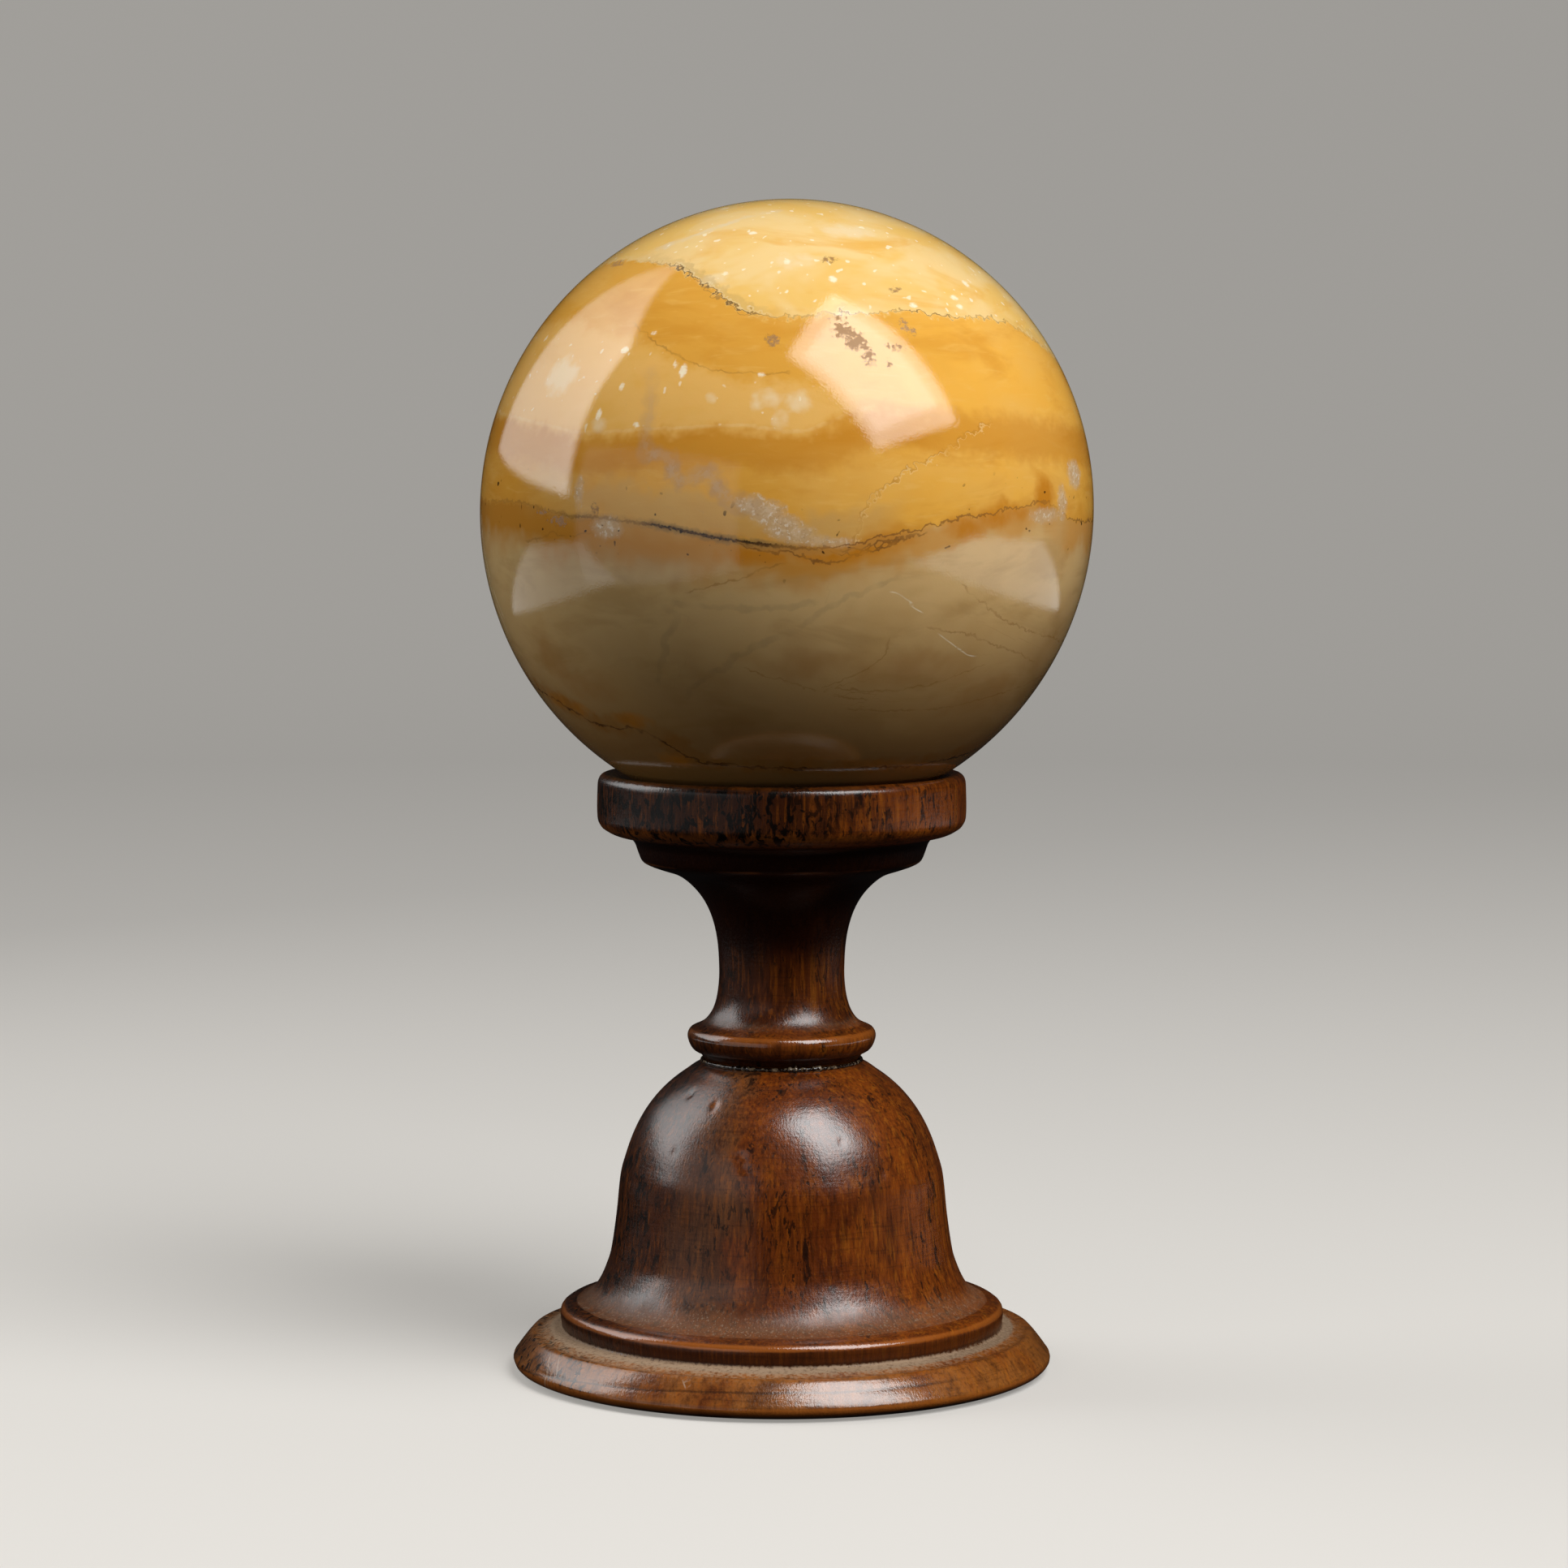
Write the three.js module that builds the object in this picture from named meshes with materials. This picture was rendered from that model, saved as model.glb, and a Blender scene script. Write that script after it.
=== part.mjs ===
// A polished marble ball lying loose in the dished cup of a turned hardwood stand.
// Millimetres, +Z up. The origin is the centre of the stand's flat underside.
// The stand is two turnings, one on the other: the bell foot, and the stem with its ring and cup.
import * as THREE from "three";

// ---- Driving dimensions ----

// Marble ball: hand ground, a little longer along one diameter, which leans towards +X.
const BALL_RADIUS = 64.8;
const BALL_LONG_RADIUS = 65.7;
const BALL_LEAN = THREE.MathUtils.degToRad(19);
const BALL_CENTRE_X = 1.1;
const BALL_CENTRE_Z = 183.5;

// Bell foot: a flange on the table, a step at the bell's rim, and the bell itself.
const UNDERSIDE_RADIUS = 52.4;
const FLANGE_RADIUS = 57.6;
const FLANGE_WIDEST_Z = 2.3;
const GROOVE_RADIUS = 47.1;
const GROOVE_Z = 9.2;
const RIM_STEP_RADIUS = 47.4;
const RIM_STEP_TOP_Z = 14.8;
const BELL_WAIST_RADIUS = 36.6;
const BELL_WAIST_Z = 25;
const BELL_SHOULDER_RADIUS = 34.4;
const BELL_SHOULDER_Z = 42;
const BELL_TOP_RADIUS = 16.6;
const JOINT_Z = 66.2;

// Upper turning: ring, waisted stem, moulding under the cup, and the cup with its dish.
const JOINT_GAP = 0.3;
const RING_RADIUS = 20.15;
const RING_Z = 71.7;
const RING_TOP_Z = 73.7;
const STEM_RADIUS = 13.4;
const STEM_WAIST_Z = 86;
const FLARE_RADIUS = 22.3;
const FLARE_Z = 106.3;
const BEAD_RADIUS = 30.1;
const BEAD_Z = 109.8;
const CUP_UNDERSIDE_Z = 114.4;
const CUP_RADIUS = 39.2;
const CUP_RIM_Z = 127.9;
const DISH_RADIUS = 68; // the hollow is a shallow part of this sphere, a little wider than the ball
const DISH_FLOOR_Z = 117.5;
const DISH_MOUTH_RADIUS = 34.4;

const TURNS = 52; // flats round each turning
const BALL_TURNS = 56;
const BALL_RINGS = 28;

// ---- Turned profiles: half outlines in radius and height, from the axis out and back ----

// An outline that starts at one point and goes on by lines and curves, each with its own number of steps.
class Outline {
  constructor(radius, z) {
    this.points = [new THREE.Vector2(radius, z)];
  }

  get end() {
    return this.points.at(-1);
  }

  line(radius, z) {
    this.points.push(new THREE.Vector2(radius, z));
    return this;
  }

  // Goes to the last of the given points, bent towards the ones before it.
  bend(steps, ...controls) {
    const handles = controls.map(([radius, z]) => new THREE.Vector2(radius, z));
    const Curve = handles.length === 2 ? THREE.QuadraticBezierCurve : THREE.CubicBezierCurve;
    this.points.push(...new Curve(this.end, ...handles).getPoints(steps).slice(1));
    return this;
  }

  // Follows a sphere round the axis, from where the outline is down to the sphere's lowest point.
  bowl(steps, sphereRadius, floorZ) {
    const startAngle = Math.asin(this.end.x / sphereRadius);
    for (let i = 1; i <= steps; i += 1) {
      const angle = startAngle * (1 - i / steps);
      this.line(sphereRadius * Math.sin(angle), floorZ + sphereRadius * (1 - Math.cos(angle)));
    }
    return this;
  }
}

function bellFootOutline() {
  return new Outline(0, 0)
    .line(UNDERSIDE_RADIUS, 0)
    // the flange's rounded edge and its sloping, dusty top
    .bend(3, [FLANGE_RADIUS - 0.1, 0.5], [FLANGE_RADIUS, FLANGE_WIDEST_Z])
    .bend(4, [FLANGE_RADIUS - 0.3, 5.6], [53.2, GROOVE_Z - 1.8])
    .bend(2, [49.6, GROOVE_Z - 0.2], [GROOVE_RADIUS, GROOVE_Z])
    // the upright step at the bell's rim, with a worn top edge
    .line(RIM_STEP_RADIUS, RIM_STEP_TOP_Z - 2.5)
    .bend(3, [RIM_STEP_RADIUS + 0.4, RIM_STEP_TOP_Z - 0.6], [43.3, RIM_STEP_TOP_Z])
    // the flare, the long side and the round shoulder of the bell
    .bend(5, [40, 16], [38.2, 19.5], [BELL_WAIST_RADIUS, BELL_WAIST_Z])
    .bend(2, [35.5, 30.5], [35.2, 35], [BELL_SHOULDER_RADIUS, BELL_SHOULDER_Z])
    .bend(7, [32.1, 51.6], [28.1, 60.9], [BELL_TOP_RADIUS, JOINT_Z])
    .line(0, JOINT_Z);
}

function cupAndStemOutline() {
  const foot = JOINT_Z + JOINT_GAP;
  return new Outline(0, foot)
    .line(BELL_TOP_RADIUS - JOINT_GAP, foot)
    // the ring, undercut where it meets the bell
    .line(BELL_TOP_RADIUS + 0.9, foot + 1.6)
    .bend(3, [RING_RADIUS - 0.5, foot + 2], [RING_RADIUS, RING_Z])
    .bend(3, [RING_RADIUS - 0.2, RING_TOP_Z - 0.1], [RING_RADIUS - 1.6, RING_TOP_Z])
    // the waisted stem, which flares into the cup
    .bend(5, [STEM_RADIUS + 1.1, RING_TOP_Z + 1.2], [STEM_RADIUS, 80], [STEM_RADIUS, STEM_WAIST_Z])
    .bend(5, [STEM_RADIUS, 97.7], [17, FLARE_Z - 3.1], [FLARE_RADIUS, FLARE_Z])
    // the bead and the cove under the cup
    .line(BEAD_RADIUS - 3.5, BEAD_Z - 2)
    .bend(3, [BEAD_RADIUS, BEAD_Z - 0.9], [BEAD_RADIUS, BEAD_Z])
    .bend(3, [31.2, 112.1], [30.8, CUP_UNDERSIDE_Z - 1.3], [32.4, CUP_UNDERSIDE_Z])
    // the cup's rounded bottom edge, its upright side and its rim
    .bend(3, [CUP_RADIUS - 0.3, CUP_UNDERSIDE_Z + 0.8], [CUP_RADIUS, CUP_UNDERSIDE_Z + 3.8])
    .line(CUP_RADIUS, CUP_RIM_Z - 2.3)
    .bend(3, [CUP_RADIUS - 0.1, CUP_RIM_Z - 0.2], [CUP_RADIUS - 1.6, CUP_RIM_Z])
    .bend(2, [CUP_RADIUS - 3, CUP_RIM_Z], [DISH_MOUTH_RADIUS, dishHeight(DISH_MOUTH_RADIUS)])
    .bowl(5, DISH_RADIUS, DISH_FLOOR_Z);
}

function dishHeight(radius) {
  return DISH_FLOOR_Z + DISH_RADIUS - Math.sqrt(DISH_RADIUS ** 2 - radius ** 2);
}

// ---- Pieces ----

function turning(name, outline, material) {
  const geometry = new THREE.LatheGeometry(outline.points, TURNS);
  geometry.rotateX(Math.PI / 2);
  const mesh = new THREE.Mesh(geometry, material);
  mesh.name = name;
  return mesh;
}

function marbleBall() {
  const geometry = new THREE.SphereGeometry(BALL_RADIUS, BALL_TURNS, BALL_RINGS);
  geometry.rotateX(Math.PI / 2);
  geometry.scale(1, 1, BALL_LONG_RADIUS / BALL_RADIUS);
  geometry.rotateY(BALL_LEAN);
  const marble = new THREE.MeshStandardMaterial({ color: 0xb0905a, roughness: 0.12, metalness: 0 });
  const mesh = new THREE.Mesh(geometry, marble);
  mesh.name = "marble_ball";
  mesh.position.set(BALL_CENTRE_X, 0, BALL_CENTRE_Z);
  return mesh;
}

function waxedWood() {
  return new THREE.MeshStandardMaterial({ color: 0x5a301a, roughness: 0.45, metalness: 0 });
}

const object = new THREE.Group();
object.add(turning("bell_foot", bellFootOutline(), waxedWood()));
object.add(turning("cup_and_stem", cupAndStemOutline(), waxedWood()));
object.add(marbleBall());

export default object;
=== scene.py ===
import math

import bpy
import numpy as np
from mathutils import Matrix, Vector


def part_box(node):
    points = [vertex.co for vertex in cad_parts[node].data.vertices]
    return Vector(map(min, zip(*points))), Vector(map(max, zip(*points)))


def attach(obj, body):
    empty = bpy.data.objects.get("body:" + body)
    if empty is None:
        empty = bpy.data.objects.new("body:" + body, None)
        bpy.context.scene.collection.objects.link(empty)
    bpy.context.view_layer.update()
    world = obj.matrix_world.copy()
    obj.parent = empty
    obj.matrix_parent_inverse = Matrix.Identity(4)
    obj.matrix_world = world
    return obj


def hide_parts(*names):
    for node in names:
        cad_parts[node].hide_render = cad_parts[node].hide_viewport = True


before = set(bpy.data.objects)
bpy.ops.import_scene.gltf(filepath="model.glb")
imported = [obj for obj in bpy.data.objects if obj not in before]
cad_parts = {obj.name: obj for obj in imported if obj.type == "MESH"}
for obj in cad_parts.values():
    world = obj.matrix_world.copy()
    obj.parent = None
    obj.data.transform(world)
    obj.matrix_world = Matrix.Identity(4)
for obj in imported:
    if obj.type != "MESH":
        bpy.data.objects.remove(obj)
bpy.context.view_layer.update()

# A polished ball of golden-yellow marble on a turned, stained and waxed hardwood stand.
# Lengths are in millimetres, and are turned to metres where a mesh or an object is made.
MM = 0.001
NOISE_ROUGHNESS = 0.6
# A line is faint at the first of these shares of its half width, and full at the second.
LINE_FAINT = 1.6
LINE_FULL = 0.5


# ---- small helpers ----

def linear(hex_colour):
    """An sRGB hex colour as linear red, green, blue and alpha."""
    channels = [int(hex_colour[i:i + 2], 16) / 255 for i in (0, 2, 4)]
    return [c / 12.92 if c <= 0.04045 else ((c + 0.055) / 1.055) ** 2.4 for c in channels] + [1.0]


def add(tree, kind, sockets=None, out=0, **settings):
    """Adds a shader node and gives back one of its outputs. A socket takes a value or another output."""
    node = tree.nodes.new("ShaderNode" + kind)
    for name, value in settings.items():
        setattr(node, name, value)
    for key, value in (sockets or {}).items():
        if isinstance(value, bpy.types.NodeSocket):
            tree.links.new(value, node.inputs[key])
        else:
            node.inputs[key].default_value = value
    return node.outputs[out] if node.outputs else None


def new_material(name):
    """A material with nothing in it but its output."""
    material = bpy.data.materials.new(name)
    material.use_nodes = True
    material.node_tree.nodes.clear()
    return material, material.node_tree


def pattern(tree, base, textures, layers, move=(0, 0, 0)):
    """Builds a colour from a base and layers over it, and gives back the colour and all fields by name.

    A texture is a soft noise: the size of its features in millimetres, how far they are squeezed along x,
    y and z, its detail and its warp. A layer names the zone it keeps to, the field that shapes it, the
    texture that wobbles it and by how many millimetres, two places on the field, its strength and its
    colour. It begins at the first place and is full at the second, unless it says "line": then it is centred
    on the first place and its half width is the second. Its mask is a field too, for later layers.
    """
    place = add(tree, "TexCoord", out="Object")
    place = add(tree, "Mapping", {"Vector": place, "Location": move, "Scale": (1 / MM,) * 3})
    fields = {}
    for name, (size, squeeze, detail, warp) in textures.items():
        squeezed = add(tree, "VectorMath", {0: place, 1: squeeze}, operation="MULTIPLY")
        noise = {"Vector": squeezed, "Scale": 1 / size, "Detail": detail, "Roughness": NOISE_ROUGHNESS,
                 "Distortion": warp}
        fields[name] = add(tree, "TexNoise", noise, normalize=False)
    colour = linear(base)
    for layer, (zone, *line, field, wobble, reach, first, second, strength, over) in layers.items():
        for name in (zone, field):
            if name and name not in fields:
                fields[name] = add(tree, "Attribute", out="Fac", attribute_name=name)
        shape = fields[field]
        if wobble:
            shape = add(tree, "Math", {0: fields[wobble], 1: reach, 2: shape}, operation="MULTIPLY_ADD")
        if line:
            shape = add(tree, "Math", {0: shape, 1: first}, operation="SUBTRACT")
            shape = add(tree, "Math", {0: shape}, operation="ABSOLUTE")
            first, second = LINE_FAINT * second, LINE_FULL * second
        ramp = {"Value": shape, "From Min": first, "From Max": second, "To Max": strength}
        mask = add(tree, "MapRange", ramp, interpolation_type="SMOOTHSTEP")
        if zone:
            mask = add(tree, "Math", {0: mask, 1: fields[zone]}, operation="MULTIPLY")
        colour = add(tree, "Mix", {0: mask, 6: colour, 7: linear(over)}, out=2, data_type="RGBA")
        fields[layer] = mask
    return colour, fields


def mesh_piece(name, points_mm, quads, attributes=None):
    """A smooth mesh from points in millimetres, with one number at each point for each named attribute."""
    mesh = bpy.data.meshes.new(name)
    mesh.from_pydata((points_mm * MM).tolist(), [], quads)
    mesh.shade_smooth()
    for attribute, values in (attributes or {}).items():
        layer = mesh.attributes.new(attribute, "FLOAT", "POINT")
        layer.data.foreach_set("value", np.asarray(values, np.float32))
    piece = bpy.data.objects.new(name, mesh)
    bpy.context.scene.collection.objects.link(piece)
    return piece


def smoothstep(low, high, value):
    """Rises smoothly from 0 where the value is at low to 1 where it is at high."""
    t = np.clip((value - low) / (high - low), 0, 1)
    return t * t * (3 - 2 * t)


def waves(t, seed, shortest, longest, count=7):
    """A smooth irregular curve between about -1 and 1, made of sines of many wavelengths."""
    rng = np.random.default_rng(seed)
    total = np.zeros_like(np.asarray(t, float))
    for wavelength in np.geomspace(longest, shortest, count):
        total += np.sin(2 * np.pi * (t / wavelength + rng.random()))
    return total / math.sqrt(count)


# ---- marble ball ----

BALL_LOW, BALL_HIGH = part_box("marble_ball")
BALL_CENTRE = np.array((BALL_LOW + BALL_HIGH) / 2) / MM
INSIDE_CAD = 0.03  # how far the ball stays within its solid
BALL_RADIUS = (BALL_HIGH.y - BALL_LOW.y) / 2 / MM - INSIDE_CAD
BALL_LONG = 65.7 / 64.8  # ground by hand, a little longer along one diameter
BALL_LEAN = math.radians(19)  # that diameter leans towards +X
CELLS = 128  # along each edge of the six patches that the ball is made of
NEAR_VEIN = 6  # beyond this distance a vein is forgotten
BLOT_FAR = 20.0  # the most that a distance to a blot is given as

# Places on the ball are azimuths and latitudes in degrees: azimuth 0 is the front, 90 the right side.
# Two seams run right round the stone. The main one parts the golden beds from the pale stone below.
MAIN_SEAM = [
    (-74, 2.1), (-61, 2.4), (-55, 2.3), (-51, 1.1), (-47, 0.9), (-42, -0.4), (-37, 0.4), (-32, -0.5),
    (-26, -0.9), (-22, -1.5), (-15, -3), (-7, -4.2), (-2, -4.9), (3, -5.3), (8, -5.2), (12, -4.6),
    (14, -3.7), (17, -3.3), (19.4, -2.4), (22, -2.4), (25, -1.7), (29.5, -0.5), (36, 0.3), (43, 1),
    (46, 1.4), (51, 2.4), (56, 2.6), (60, 0.6), (63, -0.9), (69, -1.6), (73, -1.3), (83, -1.7), (100, -4),
    (125, -10), (150, -13), (178, -11), (205, -6), (232, 0), (258, 4),
]
UPPER_SEAM = [
    (-86, 50), (-69, 53.2), (-53, 53.4), (-33, 51.1), (-19, 44.9), (-14, 41), (-8, 38.6), (-2, 37.7),
    (6, 37.9), (14, 39), (23, 38.6), (31, 39.5), (38, 37.7), (56, 37.9), (69, 33.6), (86, 27), (110, 21),
    (140, 19), (170, 24), (200, 33), (235, 43),
]
# The pale bed between the golden ones pinches out to the right of the front.
PALE_BED_TOP = [
    (-100, 34), (-60, 38), (-33, 33), (-20, 27.5), (-7, 25), (3, 24.5), (10, 22), (16, 18), (90, 5),
    (180, 12), (230, 30),
]
PALE_BED_FOOT = [
    (-100, 20), (-60, 17), (-40, 14.4), (-29, 15.2), (-17.6, 15.7), (-7, 16.2), (-3, 15.3), (1, 14.6),
    (5, 15.3), (10, 17.5), (16, 20), (90, 14), (180, 20), (230, 18),
]

# How strongly each kind of line shows along its seam: azimuth, then strength.
STRETCHES = {
    "dark": [(-46, 0.1), (-40, 0.5), (-33, 0.15), (-27, 0.3), (-24, 1), (-4, 1), (2, 0.35), (8, 0), (90, 0),
        (120, 0.8), (160, 0.5), (190, 1), (230, 0.2), (280, 0)],
    "brown_seam": [(-84, 0.1), (-70, 0.3), (-42, 0.3), (-28, 0.5), (-4, 0.4), (4, 0.4), (12, 1), (52, 0.7),
        (60, 0.1), (64, 0.8), (78, 1), (120, 0.7), (200, 0.8), (250, 0.6)],
    "double": [(-14, 0), (-8, 0.4), (0, 0.9), (12, 1), (22, 0.8), (27, 0), (140, 0), (160, 0.8), (180, 0)],
    "haze": [(-100, 0.8), (-70, 1.3), (-58, 1.6), (-42, 1.5), (-34, 1), (-10, 0.95), (8, 0.9), (19, 0.7),
        (25, 0.25), (36, 0.15), (52, 0.5), (60, 0.4), (100, 0.3), (180, 0.8), (240, 0.5)],
    "tan": [(-60, 0), (-44, 0.7), (4, 1), (16, 0.7), (22, 0), (110, 0), (150, 0.7), (200, 0)],
    "upper_dark": [(-60, 0), (-38, 0.4), (-32, 1), (-10, 1), (-4, 0.45), (9, 0.3), (13, 0.9), (18, 0.5),
        (26, 0.4), (31, 1), (38, 0.9), (46, 0.4), (58, 0.6), (70, 0.2), (110, 0.4), (170, 0.9), (220, 0.3)],
    "upper_smoke": [(-60, 0), (-36, 0.5), (-28, 1), (-8, 0.8), (0, 0.1), (8, 0), (13, 0.7), (18, 0),
        (60, 0.1), (70, 0.7), (78, 0), (150, 0.6), (200, 0)],
}

# Lines that end in the stone: how much each kind wanders, then each line's places.
VEINS = {
    "smoky": (0.15, [
        [(-28.5, 28), (-27.4, 23.5), (-26.1, 19.8), (-26.8, 15.2), (-26.8, 12.6), (-25.7, 11.2),
         (-23.4, 11.4), (-20.9, 10.1), (-21.3, 7.6), (-18.7, 6.4), (-16, 7.3), (-13.8, 8.1), (-12.9, 5.8),
         (-10.8, 3.9), (-8.9, 2.6), (-6.3, 2), (-3, 1)],
    ]),
    "rusty": (0.35, [
        [(-100, -29), (-81, -33), (-72, -34.8), (-59, -38.2), (-55, -42), (-41, -41.6), (-35, -43.1),
         (-31, -46.2), (-29, -49.1), (-24, -50.7), (-7, -52), (11, -52.7), (31, -52.7), (57, -52.5),
         (110, -43)],
    ]),
    "brown": (0.15, [
        [(-37, 37), (-33, 34.8), (-26, 31.3), (-20, 28.4), (-15, 26.8), (-7, 26), (1, 26.4)],
        [(33, -11.6), (39, -15.5), (43, -17.9), (54, -21.5), (75, -24.9), (98, -25)],
        [(27, -19.8), (39, -21.7), (47, -24.4), (64, -28.1)],
        [(-9, -27.5), (-3, -29.6), (3, -31.4), (10, -33.6), (18, -34.7)],
        [(7, -32), (13, -29.7), (19, -26.4), (20, -23.6), (20, -21.2)],
        [(9, -32), (16, -32.4), (26, -33), (35, -30.7), (45, -27.6)],
        [(13, -36.4), (28, -37.7), (45, -36.5), (66, -33), (80, -31.1), (104, -33)],
        [(-56, -4.8), (-52, -4.2), (-48, -3.4), (-46.7, -2.5), (-45, -3.7), (-41, -3.3), (-36.5, -2.9)],
        [(-19, -13.3), (-10, -11.3), (-6, -9.5), (0, -7.7)],
        [(120, 8), (138, 2), (150, -6), (171, -9), (190, -16), (214, -18)],
        [(140, 40), (160, 34), (176, 36), (200, 30), (226, 33)],
    ]),
    "grey": (0.1, [
        [(21, -10), (17, -12.1), (10, -14.3), (7, -16.1), (3, -19.9), (-5, -22.2), (-9, -24.7),
         (-13, -27.6), (-17, -29.3), (-21, -32.9), (-23, -34.8)],
        [(-24, -15.2), (-20, -17.5), (-23, -20.5), (-25, -25.3), (-28, -31.3)],
        [(-22, -15.5), (-12, -15.8), (-3, -16.1), (6, -15)],
        [(110, -20), (135, -27), (160, -26), (190, -34), (214, -31)],
        [(-140, -14), (-118, -22), (-104, -20), (-86, -27)],
    ]),
    "fold": (0.1, [
        [(-9, -4.2), (-5.1, -5.6), (-2.3, -6), (0.6, -5.7), (2.1, -6.2), (3.7, -6.7), (4.9, -7.5),
         (7.8, -7.6), (10, -7.4), (12.3, -6.7), (15.8, -5.6), (19.4, -4.3), (22.1, -3.7), (25.6, -2.5)],
        [(9, -5.8), (12, -5.7), (15, -4.6), (18, -4), (21, -3.2), (24, -2.5)],
        [(172, -13), (180, -13.4), (190, -11.6), (202, -8.2)],
    ]),
    "healed": (0.25, [
        [(11, -5), (13, -2), (14, 2.9), (19, 6.1), (23, 8.6), (28, 10.7), (32, 12.8), (37, 15.7),
         (42, 17.2)],
        [(150, 4), (158, 12), (172, 17), (184, 26)],
    ]),
    "scratch": (0.02, [
        [(18.8, -13.1), (20, -13.2), (21.1, -13.7), (22.4, -14.6), (23.9, -15.4)],
        [(23.1, -15.6), (24.5, -16.4), (26, -17.1)],
        [(30.1, -21.1), (32.6, -22.6), (34.3, -23.4), (36.4, -24.7)],
        [(36, -24.2), (38.6, -25.8), (41, -26)],
        [(-84, -2), (-80, -14), (-75, -24)],
        [(-81, 0), (-78, -12), (-74, -20)],
    ]),
    "pale": (0.35, [
        [(-50, 56), (-38, 59.6), (-29, 65), (-18, 69.7), (0, 73)],
        [(150, 60), (190, 66), (230, 60)],
    ]),
}

# Blots, each an azimuth, a latitude, a half width and a half height in millimetres.
BLOTS = {
    "crystal": [(-6, 2.4, 2.4, 1.5), (-3.4, 0.9, 3, 2.1), (-0.6, -1.4, 3, 2.2), (2, -2.8, 2.4, 1.5),
        (5.5, -3.9, 2.2, 0.7), (8.7, -4.2, 2.4, 0.6), (-33.8, -1.8, 2.8, 1.9), (-40.4, 4.5, 0.8, 1.8),
        (67, 7.2, 3.2, 2.6), (60.5, 2.2, 1.6, 2.6), (54.2, 0, 3.4, 1), (165, -4, 4, 1.8),
        (-126, 7, 2.4, 3.4)],
    "stain": [(12, 34.8, 2, 1.8), (14.4, 32.6, 2.3, 2.2), (16.6, 29.8, 1.3, 2.2), (11, 37.4, 1.4, 0.7),
        (23, 31.4, 1.6, 0.7), (-3, 32.9, 1.2, 1.4), (-45.5, -0.8, 2.2, 0.7), (-50, 0.8, 1.2, 0.5),
        (-36.5, 1.4, 0.7, 1.2), (26.5, 35.9, 0.9, 1.3), (28, 34.6, 0.8, 0.8), (21, 28, 0.5, 0.8),
        (12, 52.4, 1.3, 0.8), (28, 44.3, 1, 0.7), (-62, 52.4, 2.6, 1), (201, 24, 1.6, 1.2),
        (172, 46, 1.4, 1)],
    "orange": [(54.4, 3.9, 2.6, 2.6), (3, -5.9, 3, 0.8), (8, -6.3, 3.4, 0.9), (14, -5.2, 2.6, 0.8),
        (19, -3.6, 2.4, 0.6), (33.4, -2, 2.8, 1.3), (41, -0.2, 3.2, 1.1), (44.6, 0.7, 2.4, 0.9),
        (42, 2.2, 1, 0.9), (-39, -39.8, 2.2, 1.1), (-33, -50, 2.2, 1.4), (-64, -36.4, 3, 1.1),
        (-58, -38, 2.2, 0.9), (-5, -6.6, 4, 0.8), (150, -11, 6, 2)],
    "lens": [(-17, -12.1, 3, 1.6), (7, -26.9, 12, 2.6), (22, -28, 9, 3), (36, -29.5, 8, 3.4),
        (50, -34, 8, 4), (-46, -32, 6, 2.6), (-56, -27, 5, 5), (120, -30, 10, 4), (200, -20, 12, 4)],
    "speck": [(-21, 26.8, 0.8, 1.5), (-23, 28, 0.4, 0.8), (12, 47, 0.8, 1), (0, 51.8, 0.6, 0.8),
        (54, 46.1, 0.8, 1.1), (57, 46.6, 0.4, 0.7), (66, 50.2, 0.5, 0.9), (45, 42.5, 1, 0.7),
        (45, 40.4, 0.9, 0.6), (31, 40.6, 0.9, 0.7), (-13, 61.4, 0.9, 0.7), (-17, 48.6, 0.7, 0.6),
        (-30, 34.6, 0.7, 0.4), (-36, 31, 0.9, 0.8), (-5, 26, 0.7, 0.5), (-34, 23.7, 0.6, 0.8),
        (-38, 18.5, 0.7, 1.1), (-29, 16.5, 0.7, 0.6), (160, 52, 0.8, 0.8), (210, 40, 0.7, 0.7),
        (240, 46, 0.9, 0.6)],
    "milk": [(-5.6, 21, 0.9, 1.6), (-3.2, 21.3, 1.9, 1.6), (-1.1, 17.7, 1.7, 1.7), (2.3, 20.8, 2.4, 2.4),
        (-14.4, 21.8, 0.7, 0.7), (-37.4, 16.6, 1.8, 1), (-52, 26, 5, 4), (3, 52, 4, 2.4), (24, 62, 6, 3),
        (-20, 47, 2.4, 1.4), (130, 14, 6, 3), (200, 25, 8, 4), (170, 60, 6, 4)],
}

# The stone's soft textures and its layers of colour, from the ground up. Its grain is about 0.1 mm: the
# grain, the thinnest lines and the scratches are drawn coarser than they are, so that they show.
FLAT = (0.3, 0.3, 1)
EVEN = (1, 1, 1)
STONE_TEXTURES = {
    "cloud": (24, (0.8, 0.8, 1.2), 3, 0.3),
    "mottle": (12, (0.6, 0.6, 1.1), 3, 0.5),
    "streak": (8, FLAT, 4, 0.5),
    "thin_streak": (1.8, (0.2, 0.2, 1), 3, 0.8),
    "drift": (9, EVEN, 2, 0),
    "waver": (3.6, EVEN, 2, 0),
    "crinkle": (1.9, EVEN, 2, 0),
    "ragged": (0.9, EVEN, 3, 0),
    "dots": (1.5, EVEN, 0, 0),
    "grain": (0.5, EVEN, 2, 0),
}
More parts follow.
